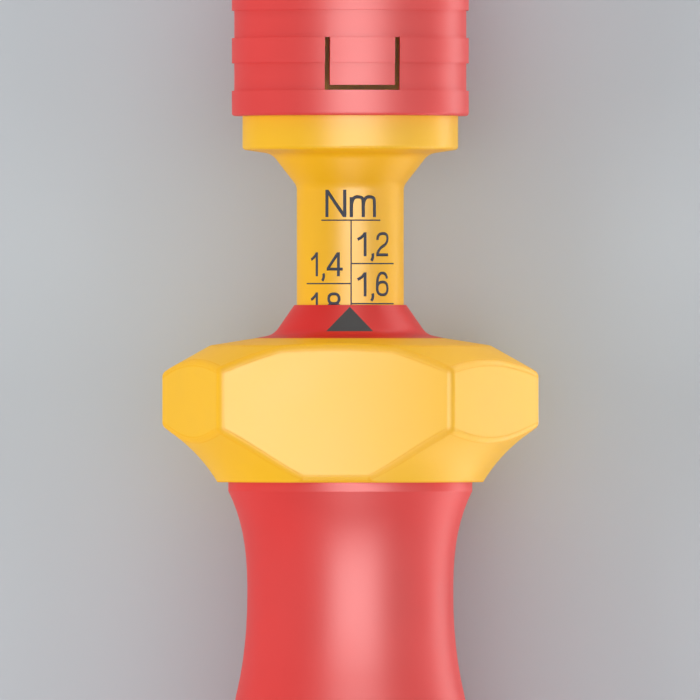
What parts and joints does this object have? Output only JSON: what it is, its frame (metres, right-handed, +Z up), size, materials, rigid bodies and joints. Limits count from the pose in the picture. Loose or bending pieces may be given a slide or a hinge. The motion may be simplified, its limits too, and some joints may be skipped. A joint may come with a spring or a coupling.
{
  "type": "torque screwdriver",
  "caption": "Insulated adjustable torque screwdriver with a scale barrel, pointer cone, anti-roll ring, waisted grip and sliding sleeve over a hexagon blade holder.",
  "frame": {"origin": "on the surface that the tool lies on, under the middle of its length and width", "axes": "+Y along the tool's axis towards the blade, +Z up, +X to the right of the scale as it is read with the blade away from the reader"},
  "size_m": [0.0378, 0.1558, 0.0279],
  "materials": {
    "red_grip": "satin",
    "red_trim": "satin",
    "yellow_ring": "satin",
    "yellow_barrel": "satin",
    "dark_mark": "matt",
    "seal_rubber": "matt",
    "nut_brass": "turned",
    "spring_steel": "drawn",
    "steel": "turned"
  },
  "bodies": {
    "handle": {"grip_shell": "red_grip", "end_cap": "red_grip", "anti_roll_ring": "yellow_ring", "index_cone": "red_trim", "index_mark": "dark_mark", "wiper_seal": "seal_rubber", "setting_nut": "nut_brass", "housing_tube": "steel", "tube_plug": "steel", "spring_seat": "steel", "main_spring": "spring_steel"},
    "driver": {"clutch_driver": "steel", "clutch_balls": "steel"},
    "barrel": {"scale_barrel": "yellow_barrel", "front_bush": "nut_brass", "rear_bush": "nut_brass", "thrust_washer_rear": "steel"},
    "spindle": {"spindle": "steel", "clutch_cam": "steel", "cam_washer": "steel", "spindle_nut": "steel", "thrust_balls": "steel", "thrust_washer_front": "steel", "bit_holder": "steel", "lock_balls": "steel", "chuck_core": "yellow_barrel", "nose_ring": "yellow_barrel", "snap_ring": "steel", "return_spring": "spring_steel"},
    "sleeve": {"release_sleeve": "red_trim", "locking_ring": "steel"}
  },
  "joints": [
    {"name": "setting_travel", "type": "slide", "parent": "handle", "child": "driver", "axis": [0, 1, 0], "range_m": [-0.004, 0.014], "deforming": ["main_spring"]},
    {"name": "setting_turn", "type": "hinge", "parent": "driver", "child": "barrel", "pos_m": [0, 0.03395, 0.01393], "axis": [0, 1, 0], "range_deg": [-720, 2520]},
    {"name": "clutch_slip", "type": "hinge", "parent": "driver", "child": "spindle", "pos_m": [0, -0.03841, 0.01393], "axis": [0, 1, 0], "continuous": true},
    {"name": "sleeve_release", "type": "slide", "parent": "spindle", "child": "sleeve", "axis": [0, -1, 0], "range_m": [0, 0.002], "stiffness_N_per_m": 400, "springref_m": -0.004, "deforming": ["return_spring"]}
  ],
  "couplings": [
    {"joint": "setting_turn", "follows": "setting_travel", "rad_per_m": 3141.6}
  ]
}
